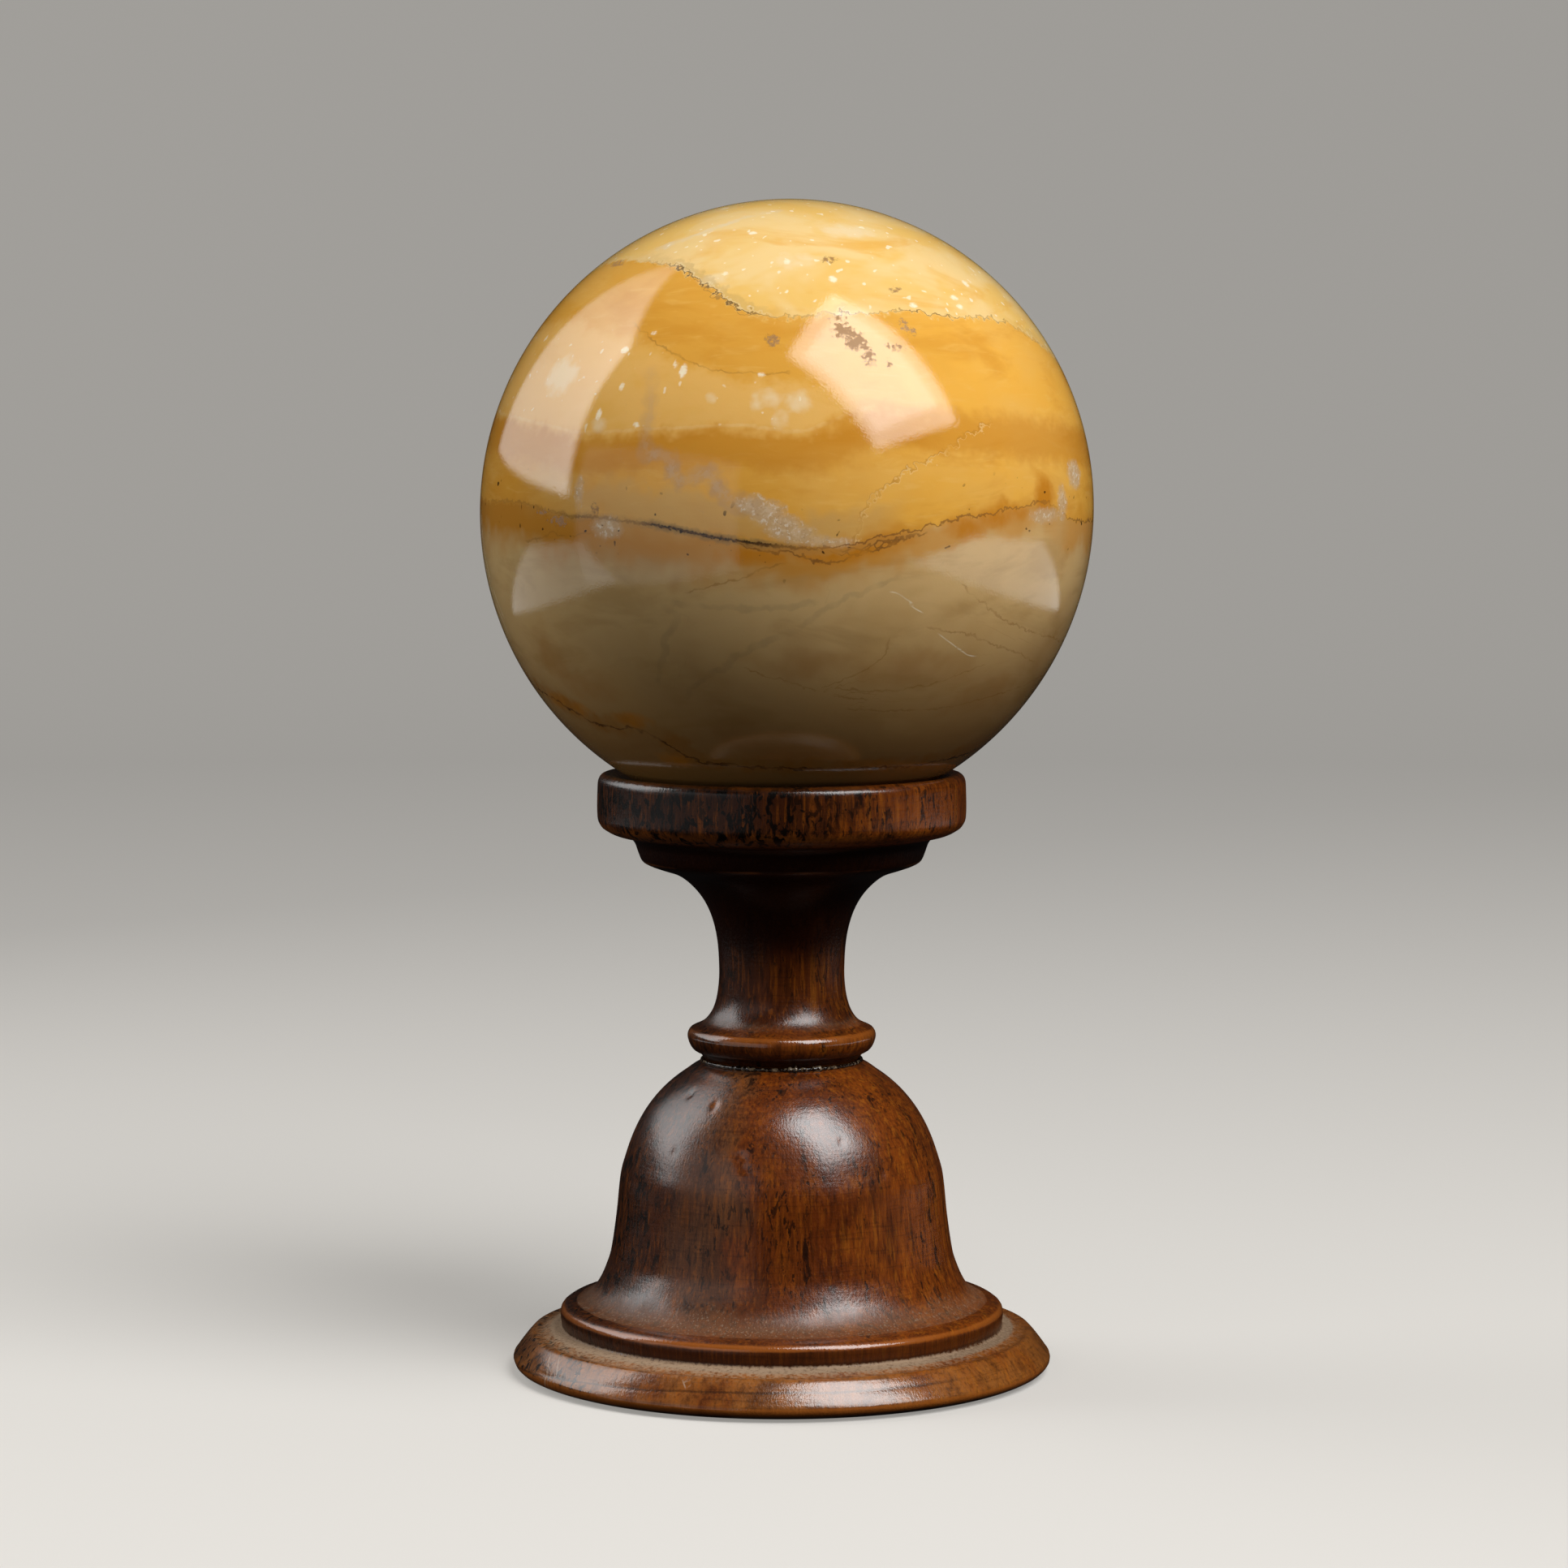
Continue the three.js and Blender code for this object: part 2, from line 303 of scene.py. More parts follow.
STONE_LAYERS = {
    "warmer_right": (None, "rightward", "drift", 12, -35, 45, 0.8, "dfb87c"),
    "tan_clouds": (None, "cloud", None, 0, -0.1, 0.7, 0.4, "b58a4c"),
    # browner and darker towards the bottom of the ball: partly the stone's own tone, partly painted shade
    "low_tan_painted_shade": (None, "height", "cloud", 10, -12, -56, 0.85, "93642c"),
    "brown_bands": (None, "streak", None, 0, -0.1, 0.9, 0.3, "9a7238"),
    "tan_lens": (None, "lens", "drift", 4, 3, -5, 0.45, "a9763c"),
    "grey_veins": ("grey_along", "line", "grey_side", "waver", 0.8, 0, 0.6, 0.2, "6d6044"),
    "haze": ("haze_along", "above_main", "drift", 3, -12, -1.5, 0.95, "bf8230"),
    "golden": (None, "above_main", "crinkle", 0.6, -0.9, 0.7, 1, "e0a341"),
    "golden_right": ("golden", "rightward", "drift", 12, -4, 46, 0.9, "eeb149"),
    "golden_clouds": ("golden", "cloud", None, 0, -0.2, 0.7, 0.4, "e8b560"),
    "golden_streaks": ("golden", "streak", None, 0, -0.2, 0.9, 0.5, "cf8b28"),
    "golden_lights": ("golden", "thin_streak", None, 0, 0.1, 1.0, 0.22, "f2c470"),
    "deep_band": ("golden", "line", "above_bed_foot", "waver", 1.2, -3.8, 4.0, 0.55, "c47e20"),
    "tan_by_seam": ("tan_along", "line", "above_main", "drift", 3, 3.2, 3.6, 0.7, "cca262"),
    "bed": ("golden", "in_bed", "waver", 1.6, -2, 2.2, 0.85, "ebb866"),
    "bed_foot": ("bed", "line", "above_bed_foot", "crinkle", 0.3, 0.5, 0.35, 0.35, "f0cf94"),
    "bed_gold": ("bed", "mottle", None, 0, -0.1, 0.7, 0.5, "e2a948"),
    "top": (None, "above_upper", "crinkle", 1.2, -0.9, 0.5, 1, "efc26c"),
    "top_cream": ("top", "mottle", None, 0, -0.5, 0.6, 0.7, "f3d498"),
    "top_tan": ("top", "rightward", "drift", 8, -14, -50, 0.6, "d8ad66"),
    "top_gold": ("top", "streak", None, 0, 0.0, 0.8, 0.65, "e9ae4a"),
    "milky": (None, "milk", "waver", 1.2, 1.2, -1.6, 0.6, "f1dcb4"),
    "pale_streak": ("pale_along", "line", "pale_side", "waver", 1.2, 0, 0.9, 0.5, "e4d3b6"),
    "top_specks": ("top", "dots", None, 0, 0.5, 0.62, 0.75, "fbeccb"),
    "bed_specks": ("bed", "dots", None, 0, 0.54, 0.66, 0.75, "f8e6c2"),
    "seam_glow": ("brown_seam_along", "line", "above_main", "drift", 3, -2.0, 3.4, 0.6, "cf8a28"),
    "orange_blots": (None, "orange", "waver", 1.3, 3.4, -1.8, 0.85, "c67b16"),
    "smoke": ("smoky_along", "line", "smoky_side", "waver", 1.2, 0, 1.6, 0.65, "b6906c"),
    "smoke_core": ("smoky_along", "line", "smoky_side", "ragged", 0.8, 0, 0.6, 0.35, "c9ab8c"),
    "crystals": (None, "crystal", "crinkle", 0.9, 1.5, -0.9, 0.8, "c9a880"),
    "crystal_clumps": ("crystals", "crinkle", None, 0, -0.1, 0.5, 0.6, "e0caac"),
    "crystal_glints": ("crystals", "ragged", None, 0, 0.15, 0.6, 0.8, "eadcc6"),
    "crystal_grit": ("crystals", "grain", None, 0, 0.35, 0.6, 0.35, "9a7850"),
    "rusty_haze": ("rusty_along", "line", "rusty_side", "waver", 1.6, 0.8, 2.4, 0.7, "a06a26"),
    "rusty_line": ("rusty_along", "line", "rusty_side", "crinkle", 0.8, 0, 0.3, 0.85, "523214"),
    "brown_lines": ("brown_along", "line", "brown_side", "crinkle", 0.5, 0, 0.17, 0.45, "946428"),
    "healed_shade": ("healed_along", "line", "healed_side", "crinkle", 1.2, 0.3, 0.25, 0.5, "b07628"),
    "healed_beads": ("healed_along", "line", "healed_side", "crinkle", 1.6, -0.1, 0.16, 0.55, "f0cf90"),
    "upper_smoke": ("upper_smoke_along", "line", "above_upper", "crinkle", 1.2, 1.0, 1.1, 0.4, "b8965e"),
    "upper_pale": ("upper_smoke_along", "line", "above_upper", "crinkle", 1.4, 0.5, 0.2, 0.5, "ecd8aa"),
    "upper_line": ("upper_dark_along", "line", "above_upper", "crinkle", 1.2, 0, 0.17, 0.85, "6b5236"),
    "upper_second": ("upper_smoke_along", "line", "above_upper", "waver", 1.8, -0.4, 0.11, 0.6, "8c6a40"),
    "main_smoke": ("dark_along", "line", "above_main", "crinkle", 0.5, 0.0, 0.8, 0.55, "7c6644"),
    "main_dark": ("dark_along", "line", "above_main", "ragged", 0.35, 0, 0.28, 0.95, "271e19"),
    "main_tan": ("double_along", "line", "above_main", "waver", 0.5, -0.8, 0.7, 0.5, "c18a44"),
    "main_brown": ("brown_seam_along", "line", "above_main", "crinkle", 0.8, 0, 0.2, 0.8, "85592e"),
    "folds": ("fold_along", "line", "fold_side", "crinkle", 0.6, 0, 0.2, 0.8, "7c5228"),
    "pits": ("near_seam", "dots", None, 0, -0.57, -0.66, 0.9, "2a1a0e"),
    "stains": (None, "stain", "ragged", 1.2, 0.5, -0.6, 0.8, "8c602c"),
    "specks": (None, "speck", "ragged", 0.2, 0.35, -0.3, 0.85, "fff2d4"),
    "scratches": ("scratch_along", "line", "scratch_side", None, 0, 0, 0.12, 0.7, "f3e6c8"),
}


def on_ball(azimuth, latitude):
    """The direction from the ball's centre to a place given in degrees."""
    a, b = np.radians(azimuth), np.radians(latitude)
    return np.stack([np.sin(a) * np.cos(b), -np.cos(a) * np.cos(b), np.sin(b)], -1)


def azimuth_and_latitude(directions):
    x, y, z = directions.T
    return np.degrees(np.arctan2(x, -y)), np.degrees(np.arcsin(np.clip(z, -1, 1)))


def ball_directions():
    """Even directions over a sphere, from the six sides of a cube, with the quads that join them."""
    side = np.tan(np.linspace(-1, 1, CELLS + 1) * math.pi / 4)
    u, v = (grid.ravel() for grid in np.meshgrid(side, side, indexing="ij"))
    one = np.ones_like(u)
    sides = [(one, u, v), (-one, v, u), (v, one, u), (u, -one, v), (u, v, one), (v, u, -one)]
    points = np.concatenate([np.stack(s, -1) for s in sides])
    points, index = np.unique(np.round(points, 7), axis=0, return_inverse=True)
    index = index.reshape(6, CELLS + 1, CELLS + 1)
    corners = (index[:, :-1, :-1], index[:, 1:, :-1], index[:, 1:, 1:], index[:, :-1, 1:])
    quads = np.stack(corners, -1).reshape(-1, 4)
    return points / np.linalg.norm(points, axis=1)[:, None], quads


def round_the_ball(places, azimuth):
    """A value given at some azimuths, joined up right round the ball."""
    places = np.array(sorted(places), float)
    return np.interp(azimuth, places[:, 0], places[:, 1], period=360)


def above_seam(seam, azimuth, latitude):
    """How far each point lies above a seam, measured square to it, in millimetres along the surface."""
    height, before, after = (
        np.mean([round_the_ball(seam, azimuth + step + soft) for soft in (-3, -1, 1, 3)], 0)
        for step in (0, -1, 1))
    slope = (after - before) / 2 / np.maximum(np.cos(np.radians(height)), 0.2)
    return np.radians(latitude - height) * BALL_RADIUS / np.sqrt(1 + slope ** 2)


def softened_line(places, seed, wander):
    """A vein's places turned to points on the ball, rounded between them and with a slight wander."""
    places = np.array(places, float)
    for _ in range(2):
        middles = (places[1:] + places[:-1]) / 2
        rounded = places.copy()
        rounded[1:-1] = (places[:-2] + 6 * places[1:-1] + places[2:]) / 8
        places = np.empty((len(rounded) + len(middles), 2))
        places[0::2], places[1::2] = rounded, middles
    run = np.arange(len(places))
    places[:, 1] += wander * waves(run, seed, 2, 9)
    return on_ball(places[:, 0], places[:, 1]) * BALL_RADIUS


def vein_fields(veins, directions, seed, wander):
    """The signed distance across the nearest vein, and a strength that fades at the veins' ends."""
    fade = 6 * wander + 0.4
    points = directions * BALL_RADIUS
    nearest = np.full(len(points), 1e9)
    across = np.full(len(points), 1e9)
    strength = np.zeros(len(points))
    for number, vein in enumerate(veins):
        line = softened_line(vein, seed + number, wander)
        run = np.concatenate([[0], np.cumsum(np.linalg.norm(np.diff(line, axis=0), axis=1))])
        for i, along in enumerate(np.diff(line, axis=0)):
            t = np.clip((points - line[i]) @ along / (along @ along), 0, 1)
            gap = points - line[i] - t[:, None] * along
            distance = np.linalg.norm(gap, axis=1)
            sideways = np.cross(directions, along / np.linalg.norm(along))
            closer = distance < nearest
            nearest[closer] = distance[closer]
            across[closer] = np.einsum("ij,ij->i", gap[closer], sideways[closer])
            ran = run[i] + t[closer] * (run[i + 1] - run[i])
            end = np.minimum(ran, run[-1] - ran)
            strength[closer] = smoothstep(0, fade, end) * (0.68 + 0.32 * waves(ran, seed + number, 3, 30))
    strength = np.clip(strength, 0, 1) * smoothstep(NEAR_VEIN, NEAR_VEIN - 2, nearest)
    return np.where(nearest < NEAR_VEIN, across, NEAR_VEIN), strength


def blot_distance(blots, azimuth, latitude):
    """For each point, the distance outside the nearest blot's edge, negative inside it."""
    nearest = np.full(len(azimuth), BLOT_FAR)
    for blot_azimuth, blot_latitude, half_width, half_height in blots:
        turn = (azimuth - blot_azimuth + 180) % 360 - 180
        across = np.radians(turn) * BALL_RADIUS * math.cos(math.radians(blot_latitude))
        up = np.radians(latitude - blot_latitude) * BALL_RADIUS
        size = min(half_width, half_height)
        away = (across / half_width) ** 2 + (up / half_height) ** 2
        nearest = np.minimum(nearest, (away - 1) / 2 * size)
    return nearest


def marble_ball():
    """A fine, slightly long ball, with the places of its seams, veins and blots as attributes."""
    directions, quads = ball_directions()
    lean = np.array([[math.cos(BALL_LEAN), 0, math.sin(BALL_LEAN)], [0, 1, 0],
                     [-math.sin(BALL_LEAN), 0, math.cos(BALL_LEAN)]])
    points = (directions * BALL_RADIUS * np.array([1, 1, BALL_LONG])) @ lean.T
    seen = points / np.linalg.norm(points, axis=1)[:, None]
    azimuth, latitude = azimuth_and_latitude(seen)
    attributes = {
        "rightward": points[:, 0],
        "height": points[:, 2],
        "above_main": above_seam(MAIN_SEAM, azimuth, latitude),
        "above_upper": above_seam(UPPER_SEAM, azimuth, latitude),
        "above_bed_foot": above_seam(PALE_BED_FOOT, azimuth, latitude),
    }
    attributes["near_seam"] = smoothstep(9, 3, np.abs(attributes["above_main"]))
    below_bed_top = -above_seam(PALE_BED_TOP, azimuth, latitude)
    attributes["in_bed"] = np.minimum(attributes["above_bed_foot"], below_bed_top)
    for name, stretch in STRETCHES.items():
        attributes[name + "_along"] = round_the_ball(stretch, azimuth)
    for name, (wander, veins) in VEINS.items():
        side, along = vein_fields(veins, seen, len(name), wander)
        attributes[name + "_side"] = side
        attributes[name + "_along"] = along
    # the smoky vein is faint where it starts, high in the golden bed
    attributes["smoky_along"] *= 0.4 + 0.6 * smoothstep(20, 9, latitude)
    for name, blots in BLOTS.items():
        attributes[name] = blot_distance(blots, azimuth, latitude)
    return mesh_piece("polished_marble_ball", points + BALL_CENTRE, quads.tolist(), attributes)


def polished_yellow_marble():
    """Siena-type yellow marble, polished: a hard, clean gloss over golden beds parted by dark seams."""
    material, tree = new_material("polished_yellow_marble")
    stone, fields = pattern(tree, "d2b078", STONE_TEXTURES, STONE_LAYERS)
    # stains and scratches have lost the polish, and the rest of the polish varies very slightly
    dull = add(tree, "Math", {0: fields["stains"], 1: fields["scratches"]}, operation="MAXIMUM")
    polish = {"Value": fields["cloud"], "From Min": -0.5, "From Max": 0.5, "To Min": 0.015, "To Max": 0.03}
    gloss = add(tree, "MapRange", polish)
    gloss = add(tree, "Math", {0: dull, 1: 0.6, 2: gloss}, operation="MULTIPLY_ADD")
    bump = add(tree, "Bump", {"Strength": 0.04, "Distance": 0.1 * MM, "Height": fields["grain"]})
    shader = add(tree, "BsdfPrincipled", {
        "Base Color": stone, "Roughness": gloss, "IOR": 1.52, "Normal": bump, "Subsurface Weight": 0.12,
        "Subsurface Radius": (1.0, 0.55, 0.25), "Subsurface Scale": 2.5 * MM})
    add(tree, "OutputMaterial", {"Surface": shader})
    return material


# ---- turned stand ----

COLUMNS = 368  # round each turning
ROWS = 262  # along each turned outline
CORNER = math.radians(32)  # where the outline turns by more than this it keeps its corner
CORNER_SOFTNESS = 0.3
FINER = 8  # the outline is softened at this many steps to a row
EDGE_REACH = 1.0  # how far along the outline an edge is felt, and a cove
COVE_REACH = 3.2
BAND_RADIUS = 35

# Where each zone of the wood lies: pairs of heights, one where it is nothing and one where it is full.
HEIGHT_ZONES = {
    "on_flange": [(9.8, 9.3)],
    "lip_face": [(9.2, 9.8), (13.2, 12)],
    "on_bell": [(15, 20), (66.4, 66)],
    "upright": [(10, 16)],
    "on_ring": [(69, 72), (74.2, 73.5)],
    "stem_low": [(74, 77), (100, 92)],
    "stem_top": [(82, 99), (114.6, 114)],
    "on_cup": [(114.6, 115.4)],
    "cup_foot": [(114.6, 115.4), (119, 116.5)],
}


def turned_outline(node):
    """A CAD turning's outline as (radius, height) in millimetres, from the axis below to the axis again."""
    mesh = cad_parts[node].data
    flat = {}
    for vertex in mesh.vertices:
        x, y, z = np.array(vertex.co) / MM
        if abs(x) < 0.003 and y < 0.003:
            flat[vertex.index] = (round(-y, 2) + 0.0, round(z, 2))
    joined = {}
    for edge in mesh.edges:
        a, b = (flat.get(i) for i in edge.vertices)
        if a and b and a != b:
            joined.setdefault(a, set()).add(b)
            joined.setdefault(b, set()).add(a)
    outline = [min((p for p in joined if p[0] == 0), key=lambda p: p[1])]
    while True:
        ahead = [p for p in joined[outline[-1]] if p not in outline]
        if not ahead:
            return np.array(outline)
        outline.append(min(ahead, key=lambda p: abs(p[0] - outline[-1][0]) + abs(p[1] - outline[-1][1])))


def fine_outline(outline):
    """The outline in even steps, curved between the given points, with its corners slightly rounded."""
    step = np.diff(outline, axis=0)
    length = np.linalg.norm(step, axis=1)
    heading = step / length[:, None]
    turn = np.arccos(np.clip(np.einsum("ij,ij->i", heading[:-1], heading[1:]), -1, 1))
    curve = [outline[:1]]
    for i in range(len(step)):
        leave, arrive = heading[i], heading[i]
        if i > 0 and turn[i - 1] < CORNER:
            leave = (outline[i + 1] - outline[i - 1]) / (length[i] + length[i - 1])
        if i < len(step) - 1 and turn[i] < CORNER:
            arrive = (outline[i + 2] - outline[i]) / (length[i] + length[i + 1])
        t = np.linspace(0, 1, max(int(length[i] / 0.1), 2))[1:, None]
        ends = (2 * t ** 3 - 3 * t ** 2 + 1) * outline[i] + (3 * t ** 2 - 2 * t ** 3) * outline[i + 1]
        curve.append(ends + ((t ** 3 - 2 * t ** 2 + t) * leave + (t ** 3 - t ** 2) * arrive) * length[i])
    curve = np.concatenate(curve)
    run = np.concatenate([[0], np.cumsum(np.linalg.norm(np.diff(curve, axis=0), axis=1))])
    even = np.linspace(0, run[-1], ROWS * FINER)
    curve = np.stack([np.interp(even, run, curve[:, k]) for k in (0, 1)], -1)
    reach = max(int(3 * CORNER_SOFTNESS / even[1]), 1)
    weights = np.exp(-0.5 * (np.arange(-reach, reach + 1) * even[1] / CORNER_SOFTNESS) ** 2)
    weights /= weights.sum()
    padded = np.concatenate([np.repeat(curve[:1], reach, 0), curve, np.repeat(curve[-1:], reach, 0)])
    soft = np.stack([np.convolve(padded[:, k], weights, "valid") for k in (0, 1)], -1)
    soft[0], soft[-1] = curve[0], curve[-1]
    places = np.linspace(0, run[-1], ROWS)
    return np.stack([np.interp(places, even, soft[:, k]) for k in (0, 1)], -1), run[-1]


def turning_at(outline, reach_rows):
    """How far the outline turns round each row, in radians: positive on edges, negative in coves."""
    heading = np.gradient(outline, axis=0)
    angle = np.unwrap(np.arctan2(heading[:, 1], heading[:, 0]))
    ahead = np.concatenate([angle[reach_rows:], np.repeat(angle[-1:], reach_rows)])
    behind = np.concatenate([np.repeat(angle[:1], reach_rows), angle[:-reach_rows]])
    return ahead - behind


def turned_piece(name, node, relief, seed):
    """A fine lathe mesh over a CAD turning, with its relief, its worn edges, the dust in its coves and the
    painted shade in them.
    """
    outline, length = fine_outline(turned_outline(node))
    row_mm = length / (ROWS - 1)
    heading = np.gradient(outline, axis=0)
    heading /= np.linalg.norm(heading, axis=1)[:, None]
    normal = np.stack([heading[:, 1], -heading[:, 0]], -1)
    azimuth = np.linspace(0, 360, COLUMNS, endpoint=False)
    radius, height = (outline[:, k, None] + np.zeros(COLUMNS) for k in (0, 1))
    around = azimuth + np.zeros_like(radius)
    edge = turning_at(outline, max(int(EDGE_REACH / row_mm), 1))
    cove = turning_at(outline, max(int(COVE_REACH / row_mm), 1))
    turn = (around + 180) % 360 - 180
    raised, marks = relief(radius, height, turn, edge[:, None], normal[:, 1, None], seed)
    # as if every point stood equally far from the axis, so that a band of colour runs straight up the stand
    marks["rightward"] = BAND_RADIUS * np.sin(np.radians(around))
    for zone, slopes in HEIGHT_ZONES.items():
        marks[zone] = np.prod([smoothstep(*slope, height) for slope in slopes], axis=0)
    fade = smoothstep(0, 3, np.minimum(np.arange(ROWS), np.arange(ROWS)[::-1]))[:, None]
    radius = np.maximum(radius + raised * normal[:, :1] * fade, 0)
    height = height + raised * normal[:, 1:] * fade
    a = np.radians(around)
    height = np.clip(height, outline[0, 1], None)
    points = np.stack([radius * np.sin(a), -radius * np.cos(a), height], -1)[1:-1].reshape(-1, 3)
    points = np.concatenate([points, [[0, 0, outline[0, 1]], [0, 0, outline[-1, 1]]]])
    rows = np.arange(len(points) - 2).reshape(ROWS - 2, COLUMNS)
    beside = np.roll(rows, -1, 1)
    quads = np.stack([rows[:-1], beside[:-1], beside[1:], rows[1:]], -1).reshape(-1, 4).tolist()
    below, above = len(points) - 2, len(points) - 1
    quads += [(below, b, a) for a, b in zip(rows[0], beside[0])]
    quads += [(above, a, b) for a, b in zip(rows[-1], beside[-1])]
    up = normal[:, 1]
    # dust films lie on the bell above the flange, and less on the cup and stem
    filmed = smoothstep(8, 9, outline[:, 1]) * (1 - 0.45 * smoothstep(60, 70, outline[:, 1]))
    profile_marks = {
        "worn": smoothstep(0.25, 0.7, edge),
        # painted shade in the coves, strongest where the outline bends most inwards
        "cove_shade": smoothstep(0.5, 1.3, -cove),
        "dust": smoothstep(0.25, 0.8, up) * smoothstep(0.5, 1.2, -cove),
        "film": smoothstep(0.25, 0.75, up) * smoothstep(-0.25, 0.25, -cove) * filmed,
        "under": smoothstep(0.2, 0.8, -up),
        "shoulder": smoothstep(0.05, 0.45, up),
    }
    attributes = {k: (v[:, None] + np.zeros(COLUMNS)) for k, v in profile_marks.items()}
    attributes.update(marks)
    attributes["under"] = attributes["under"] * (1 - 0.8 * marks["on_cup"])
    attributes["worn"] = attributes["worn"] * (1 - 0.5 * marks["on_cup"])
    spread = {}
    for key, grid in attributes.items():
        grid = np.asarray(grid)
        spread[key] = np.concatenate([grid[1:-1].ravel(), [grid[0].mean(), grid[-1].mean()]])
    return mesh_piece(name, points, quads, spread)


def dent(radius, azimuth, height, at_azimuth, at_height, size, depth):
    """A shallow round-bottomed dent, deepest in its middle, in millimetres."""
    across = np.radians((azimuth - at_azimuth + 180) % 360 - 180) * radius
    away = np.hypot(across, height - at_height) / size
    return -depth * np.exp(-away ** 2)


FAR_FROM_LINE = 9.0
# Dents on the bell, each its azimuth, height, size and depth.
BELL_DENTS = [
    (-52, 61, 0.8, 0.3), (-33, 59.5, 0.7, 0.3), (-45, 50, 0.8, 0.2), (-15, 50, 1.0, 0.4),
    (-14, 48, 0.8, 0.35), (24, 53, 0.7, 0.2), (39, 46, 0.8, 0.2), (160, 44, 1.1, 0.3), (205, 52, 0.9, 0.25),
]
# Scratches on the flange, each from an azimuth and a radius to another.
FLANGE_SCRATCHES = [
    ((-25, 50.2), (-21.5, 54.4)), ((-23.4, 50.4), (-20.6, 53.4)), ((-21.6, 49.8), (-20.2, 52.4)),
    ((-68, 50), (-60, 57)), ((-62, 51), (-57, 56)), ((34, 51), (37, 53)), ((120, 50), (131, 55)),
]


def flange_scratches(radius, azimuth):
    """The signed distance across the nearest scratch, and where it shows."""
    nearest, across, shown = (np.full(radius.shape, v) for v in (FAR_FROM_LINE, FAR_FROM_LINE, 0.0))
    for (start_azimuth, start_radius), (end_azimuth, end_radius) in FLANGE_SCRATCHES:
        arc = math.radians(end_azimuth - start_azimuth) * start_radius
        along = np.array([arc, end_radius - start_radius])
        x, y = np.radians(azimuth - start_azimuth) * start_radius, radius - start_radius
        run = np.clip((x * along[0] + y * along[1]) / (along @ along), 0, 1)
        away = np.hypot(x - run * along[0], y - run * along[1])
        side = (x * along[1] - y * along[0]) / np.linalg.norm(along)
        closer = away < nearest
        nearest = np.where(closer, away, nearest)
        across = np.where(closer, side, across)
        shown = np.where(closer, smoothstep(1.2, 0.5, away - np.abs(side)), shown)
    return across, shown * smoothstep(FAR_FROM_LINE, FAR_FROM_LINE - 1, nearest)


def hand_work(azimuth, edge, up, seed, unevenness, broad_knocks, fine_share, fine_knocks, knocked, depth):
    """Slight unevenness of the upright sides, and knocks along the edges, in millimetres outwards."""
    raised = unevenness * waves(azimuth, seed, 60, 360, 4) * smoothstep(0.2, 0.6, 1 - np.abs(up))
    knock = waves(azimuth, seed + 1, *broad_knocks) + fine_share * waves(azimuth, seed + 2, *fine_knocks)
    return raised - depth * smoothstep(*knocked, knock) * smoothstep(0.4, 1.0, edge)


def foot_relief(radius, height, azimuth, edge, up, seed):
    """The foot: knocks and dents on the bell, and a fine scored line round the flange's front."""
    raised = hand_work(azimuth, edge, up, seed, 0.1, (2.5, 30, 9), 0.6, (1.2, 4, 4), (0.6, 1.8), 0.22)
    for place in BELL_DENTS:
        raised = raised + dent(radius, azimuth, height, *place)
    # the flange's outer slope is nearly flat, as if planed, from its widest part up to its top
    to_slope = 0.83 * (57 - radius) + 0.555 * (3.5 - height)
    raised = raised + 0.8 * to_slope * smoothstep(2.8, 3.8, height) * smoothstep(51.6, 53.4, radius)
    # the scored line runs level round the front and sinks towards the left
    line_height = 6.0 - 4.0 * np.clip(-azimuth / 80, 0, 1) ** 2 + 0.08 * waves(azimuth, seed + 3, 12, 60)
    beside_line = height - line_height
    on_slope = smoothstep(53.5, 54.5, radius) * smoothstep(8, 7, height)
    shown = smoothstep(-100, -84, azimuth) * smoothstep(48, 30, azimuth) * on_slope
    raised = raised - 0.1 * np.exp(-(beside_line / 0.3) ** 2) * shown
    scratch, scratch_shown = flange_scratches(radius, azimuth)
    # dust has settled in the groove, further out at the left and less at the right
    dust_reach = 54.5 + 2 * smoothstep(20, -50, azimuth)
    settled = smoothstep(9.8, 9.4, height) * smoothstep(dust_reach, 48.5, radius)
    settled = settled * (1 - 0.4 * smoothstep(30, 60, azimuth) * smoothstep(150, 110, azimuth))
    return raised, {"settled": settled, "scored": np.where(shown > 0.02, beside_line, FAR_FROM_LINE),
                    "scored_shown": shown, "scratch": scratch, "scratch_shown": scratch_shown * on_slope}


def stem_relief(radius, height, azimuth, edge, up, seed):
    """The cup and stem: the small knocks of a much handled rim. The ring's edges are rubbed smooth."""
    raised = hand_work(azimuth, edge, up, seed, 0.08, (2, 24, 9), 0.7, (1.0, 4, 5), (0.0, 1.5), 0.4)
    nothing = np.zeros_like(radius)
    far = nothing + FAR_FROM_LINE
    marks = {"settled": nothing, "scored": far, "scored_shown": nothing,
             "scratch": far, "scratch_shown": nothing}
    return raised * smoothstep(75, 78, height), marks


# Beech's fibres and pores are under 0.1 mm wide and dust is finer still: fibres, dashes, pores and speckles
# are drawn several times coarser than they are, so that they show. Its ray flecks keep their own size.
WOOD_TEXTURES = {
    "growth": (2.8, (1, 1, 1 / 12), 4, 0.3),
    "strip": (1.3, (1, 1, 1 / 24), 3, 0),
    "fibre": (0.7, (1, 1, 1 / 18), 3, 0),
    "dash": (0.7, (1, 1, 1 / 6), 3, 0),
    "fleck": (0.9, (1, 1, 1 / 3), 3, 0.3),
    "blotch": (2.2, (1, 1, 1 / 4), 5, 0.5),
    "blot": (1.7, (1, 1, 1 / 2), 5, 0.8),
    "turning": (0.6, (0.08, 0.08, 1), 2, 0),
    "cloud": (14, (1, 1, 0.35), 3, 0.2),
    "patchy": (8, (1, 1, 0.3), 3, 0),
    "speckle": (0.8, EVEN, 3, 0),
    "pore": (0.45, (1, 1, 0.5), 2, 0),
    "drift": STONE_TEXTURES["drift"],
}
